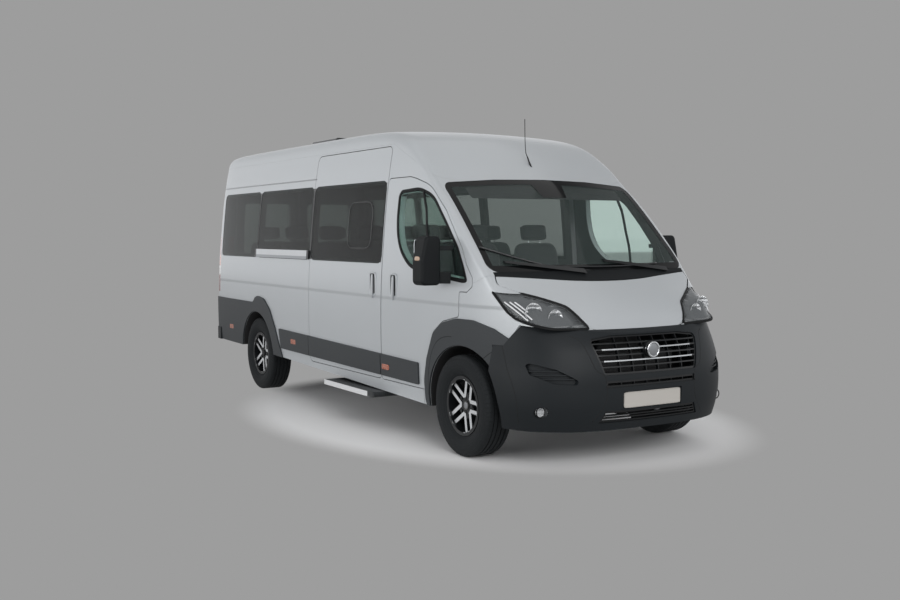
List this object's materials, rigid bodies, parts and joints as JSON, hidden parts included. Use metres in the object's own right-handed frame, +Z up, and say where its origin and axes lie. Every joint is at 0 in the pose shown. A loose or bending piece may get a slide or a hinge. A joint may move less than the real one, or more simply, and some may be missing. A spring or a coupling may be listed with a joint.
{
  "type": "minibus",
  "caption": "Long high-roof minibus with sliding side door, hinged front and rear doors, bonnet, steered front wheels and a sliding entry step.",
  "frame": {"origin": "on the ground, below the middle of the vehicle's bounding box", "axes": "+X forward along the vehicle, +Y to its left, +Z up"},
  "size_m": [6.3614, 2.49, 2.5739],
  "materials": {
    "body_paint": "gloss",
    "dark_plastic": "grained",
    "gloss_black": "gloss",
    "clear_glass": "clear, faint green",
    "tinted_glass": "dark tint",
    "lamp_clear": "clear lens",
    "lamp_red": "clear red lens",
    "lamp_amber": "clear amber lens",
    "bare_aluminium": "satin",
    "wheel_alloy": "machined on black",
    "tyre_rubber": "matte",
    "chassis_steel": "satin black",
    "engine_iron": "cast",
    "seat_fabric": "woven",
    "cabin_plastic": "grained"
  },
  "bodies": {
    "root": {"roof_panel": "body_paint", "windscreen": "clear_glass", "cowl_panel": "dark_plastic", "sliding_door": "body_paint", "floor_pan": "chassis_steel", "front_bumper": "dark_plastic", "grille": "gloss_black", "rear_bumper": "dark_plastic", "slide_rail": "bare_aluminium", "marker_lamps": "lamp_amber", "wipers": "gloss_black", "side_wall_left": "body_paint", "side_wall_right": "body_paint", "body_pillars": "body_paint", "fenders": "body_paint", "headlamps": "lamp_clear", "rear_lamps": "lamp_red", "side_glass": "tinted_glass", "wheel_housings": "dark_plastic", "side_trim": "dark_plastic", "roof_fittings": "gloss_black", "rear_axle": "chassis_steel", "chassis_rails": "chassis_steel", "underbody": "chassis_steel", "front_subframe": "chassis_steel", "engine_block": "engine_iron", "step_cradle": "chassis_steel", "seats": "seat_fabric", "dashboard": "cabin_plastic"},
    "steering": {"steering_wheel": "cabin_plastic"},
    "step": {"entry_step": "bare_aluminium"},
    "bonnet": {"bonnet": "body_paint"},
    "door_left": {"front_door_left": "body_paint", "door_glass_left": "clear_glass", "mirror_left": "dark_plastic", "door_trim_left": "dark_plastic"},
    "tail_door_left": {"rear_door_left": "body_paint", "rear_glass_left": "tinted_glass"},
    "knuckle_left": {"knuckle_left": "chassis_steel"},
    "wheel_front_left": {"tyre_front_left": "tyre_rubber", "rim_front_left": "wheel_alloy"},
    "wheel_rear_left": {"tyre_rear_left": "tyre_rubber", "rim_rear_left": "wheel_alloy"},
    "door_right": {"front_door_right": "body_paint", "door_glass_right": "clear_glass", "mirror_right": "dark_plastic", "door_trim_right": "dark_plastic"},
    "tail_door_right": {"rear_door_right": "body_paint", "rear_glass_right": "tinted_glass"},
    "knuckle_right": {"knuckle_right": "chassis_steel"},
    "wheel_front_right": {"tyre_front_right": "tyre_rubber", "rim_front_right": "wheel_alloy"},
    "wheel_rear_right": {"tyre_rear_right": "tyre_rubber", "rim_rear_right": "wheel_alloy"}
  },
  "joints": [
    {"name": "steer_left", "type": "hinge", "parent": "root", "child": "knuckle_left", "pos_m": [2.2335, 0.81, 0.372], "axis": [0, 0, 1], "range_deg": [-32, 32]},
    {"name": "spin_front_left", "type": "hinge", "parent": "knuckle_left", "child": "wheel_front_left", "pos_m": [2.2335, 0.905, 0.372], "axis": [0, 1, 0], "continuous": true},
    {"name": "spin_rear_left", "type": "hinge", "parent": "root", "child": "wheel_rear_left", "pos_m": [-1.8015, 0.895, 0.372], "axis": [0, 1, 0], "continuous": true},
    {"name": "open_door_left", "type": "hinge", "parent": "root", "child": "door_left", "pos_m": [2.33478, 1, 1.2], "axis": [0, 0, -1], "range_deg": [0, 70]},
    {"name": "open_tail_door_left", "type": "hinge", "parent": "root", "child": "tail_door_left", "pos_m": [-3.12129, 0.80462, 1.4], "axis": [-0.016, 0, -0.9999], "range_deg": [0, 180]},
    {"name": "steer_right", "type": "hinge", "parent": "root", "child": "knuckle_right", "pos_m": [2.2335, -0.81, 0.372], "axis": [0, 0, 1], "range_deg": [-32, 32]},
    {"name": "spin_front_right", "type": "hinge", "parent": "knuckle_right", "child": "wheel_front_right", "pos_m": [2.2335, -0.905, 0.372], "axis": [0, 1, 0], "continuous": true},
    {"name": "spin_rear_right", "type": "hinge", "parent": "root", "child": "wheel_rear_right", "pos_m": [-1.8015, -0.895, 0.372], "axis": [0, 1, 0], "continuous": true},
    {"name": "open_door_right", "type": "hinge", "parent": "root", "child": "door_right", "pos_m": [2.33478, -1, 1.2], "axis": [0, 0, 1], "range_deg": [0, 70]},
    {"name": "open_tail_door_right", "type": "hinge", "parent": "root", "child": "tail_door_right", "pos_m": [-3.12129, -0.80462, 1.4], "axis": [0.016, 0, 0.9999], "range_deg": [0, 180]},
    {"name": "turn_steering_wheel", "type": "hinge", "parent": "root", "child": "steering", "pos_m": [1.68878, 0.45, 1.23676], "axis": [-0.5, 0, 0.866], "range_deg": [-512, 512]},
    {"name": "open_bonnet", "type": "hinge", "parent": "root", "child": "bonnet", "pos_m": [2.45, 0, 1.33], "axis": [0, -1, 0], "range_deg": [0, 55]},
    {"name": "slide_step", "type": "slide", "parent": "root", "child": "step", "axis": [0, 1, 0], "range_m": [0, 0.24]}
  ],
  "couplings": [
    {"joint": "steer_right", "follows": "steer_left", "ratio": 1},
    {"joint": "turn_steering_wheel", "follows": "steer_left", "ratio": 15}
  ]
}
